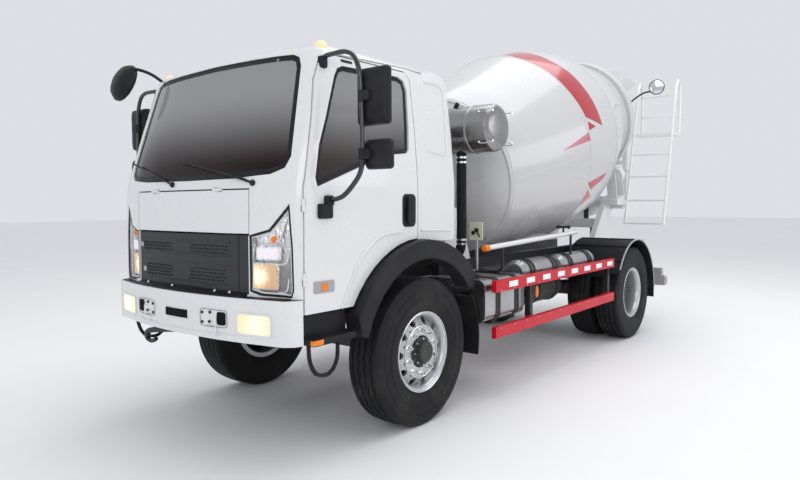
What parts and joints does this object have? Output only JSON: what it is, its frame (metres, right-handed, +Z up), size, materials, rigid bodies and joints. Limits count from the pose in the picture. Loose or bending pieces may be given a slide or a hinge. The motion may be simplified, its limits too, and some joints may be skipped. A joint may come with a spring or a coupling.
{
  "type": "concrete mixer truck",
  "caption": "Cab-over concrete mixer truck with a tilted revolving drum, rear hopper, swinging chute, side guards and a tilting cab.",
  "frame": {"origin": "on the ground, under the middle of the truck's box", "axes": "+X to the truck's left, +Y to its rear (it drives towards -Y), +Z up"},
  "size_m": [2.72, 6.9, 3.3633],
  "materials": {
    "white_paint": "gloss",
    "drum_paint": "gloss",
    "red_paint": "gloss",
    "grey_paint": "satin",
    "black_steel": "satin",
    "dark_iron": "matte",
    "tank_aluminium": "brushed",
    "black_plastic": "matte",
    "rubber_flap": "matte",
    "tyre": "matte",
    "lamp_lens": "clear",
    "dark_glass": "tinted",
    "seat_cloth": "woven"
  },
  "bodies": {
    "chassis": {"frame": "black_steel", "front_bumper": "white_paint", "front_axle": "black_steel", "rear_axle": "black_steel", "engine": "dark_iron", "propshaft": "black_steel", "fuel_tank": "tank_aluminium", "air_tanks": "tank_aluminium", "muffler": "tank_aluminium", "battery_box": "black_plastic", "air_cleaner": "tank_aluminium", "rear_underrun": "grey_paint", "cab_step_left": "black_plastic", "cab_step_right": "black_plastic", "front_mudguard_left": "rubber_flap", "front_mudguard_right": "rubber_flap", "rear_mudguard_left": "black_plastic", "rear_mudguard_right": "black_plastic", "side_guard_left": "red_paint", "side_guard_right": "red_paint", "front_pedestal": "white_paint", "drum_gearbox": "grey_paint", "rear_pedestal": "white_paint", "hopper": "white_paint", "discharge_trough": "white_paint", "ladder": "white_paint"},
    "cab": {"cab_body": "white_paint", "grille": "black_plastic", "headlight_left": "lamp_lens", "headlight_right": "lamp_lens", "windscreen": "dark_glass", "dashboard": "black_plastic", "driver_seat": "seat_cloth", "passenger_seat": "seat_cloth", "arch_flare_left": "black_plastic", "arch_flare_right": "black_plastic"},
    "front_panel": {"front_panel": "white_paint"},
    "door_left": {"door_left": "white_paint", "door_glass_left": "dark_glass", "mirror_left": "black_plastic"},
    "door_right": {"door_right": "white_paint", "door_glass_right": "dark_glass", "mirror_right": "black_plastic", "kerb_mirror": "black_plastic"},
    "drum": {"drum": "drum_paint"},
    "knuckle_left": {"knuckle_left": "black_steel"},
    "knuckle_right": {"knuckle_right": "black_steel"},
    "front_wheel_left": {"front_wheel_left": "tyre"},
    "front_wheel_right": {"front_wheel_right": "tyre"},
    "rear_wheel_left": {"rear_wheel_left": "tyre"},
    "rear_wheel_right": {"rear_wheel_right": "tyre"},
    "chute_bracket": {"chute_bracket": "black_steel"},
    "chute": {"chute": "white_paint"}
  },
  "joints": [
    {"name": "steer_left", "type": "hinge", "parent": "chassis", "child": "knuckle_left", "pos_m": [0.705, -2.15, 0.515], "axis": [0, 0, 1], "range_deg": [-35, 35]},
    {"name": "steer_right", "type": "hinge", "parent": "chassis", "child": "knuckle_right", "pos_m": [-0.705, -2.15, 0.515], "axis": [0, 0, 1], "range_deg": [-35, 35]},
    {"name": "front_wheel_left_spin", "type": "hinge", "parent": "knuckle_left", "child": "front_wheel_left", "pos_m": [0.849, -2.15, 0.515], "axis": [1, 0, 0], "continuous": true},
    {"name": "front_wheel_right_spin", "type": "hinge", "parent": "knuckle_right", "child": "front_wheel_right", "pos_m": [-0.849, -2.15, 0.515], "axis": [1, 0, 0], "continuous": true},
    {"name": "rear_wheel_left_spin", "type": "hinge", "parent": "chassis", "child": "rear_wheel_left", "pos_m": [0.826, 1.625, 0.515], "axis": [1, 0, 0], "continuous": true},
    {"name": "rear_wheel_right_spin", "type": "hinge", "parent": "chassis", "child": "rear_wheel_right", "pos_m": [-0.826, 1.625, 0.515], "axis": [1, 0, 0], "continuous": true},
    {"name": "drum_spin", "type": "hinge", "parent": "chassis", "child": "drum", "pos_m": [0, -0.53, 1.79], "axis": [0, 0.9659, 0.2588], "continuous": true},
    {"name": "cab_tilt", "type": "hinge", "parent": "chassis", "child": "cab", "pos_m": [0, -3.388, 0.975], "axis": [1, 0, 0], "range_deg": [0, 45]},
    {"name": "front_panel_lid", "type": "hinge", "parent": "cab", "child": "front_panel", "pos_m": [0, -3.364, 1.632], "axis": [-1, 0, 0], "range_deg": [0, 70]},
    {"name": "door_left_hinge", "type": "hinge", "parent": "cab", "child": "door_left", "pos_m": [0.944, -3.229, 1.5], "axis": [0, 0, -1], "range_deg": [0, 70]},
    {"name": "door_right_hinge", "type": "hinge", "parent": "cab", "child": "door_right", "pos_m": [-0.944, -3.229, 1.5], "axis": [0, 0, 1], "range_deg": [0, 70]},
    {"name": "chute_swing", "type": "hinge", "parent": "chassis", "child": "chute_bracket", "pos_m": [0, 3.18, 1.2], "axis": [0, 0, -1], "range_deg": [0, 130]},
    {"name": "chute_tilt", "type": "hinge", "parent": "chute_bracket", "child": "chute", "pos_m": [0, 3.18, 1.59], "axis": [0, 1, 0], "range_deg": [-16, 24]}
  ],
  "couplings": [
    {"joint": "steer_right", "follows": "steer_left", "ratio": 1}
  ]
}
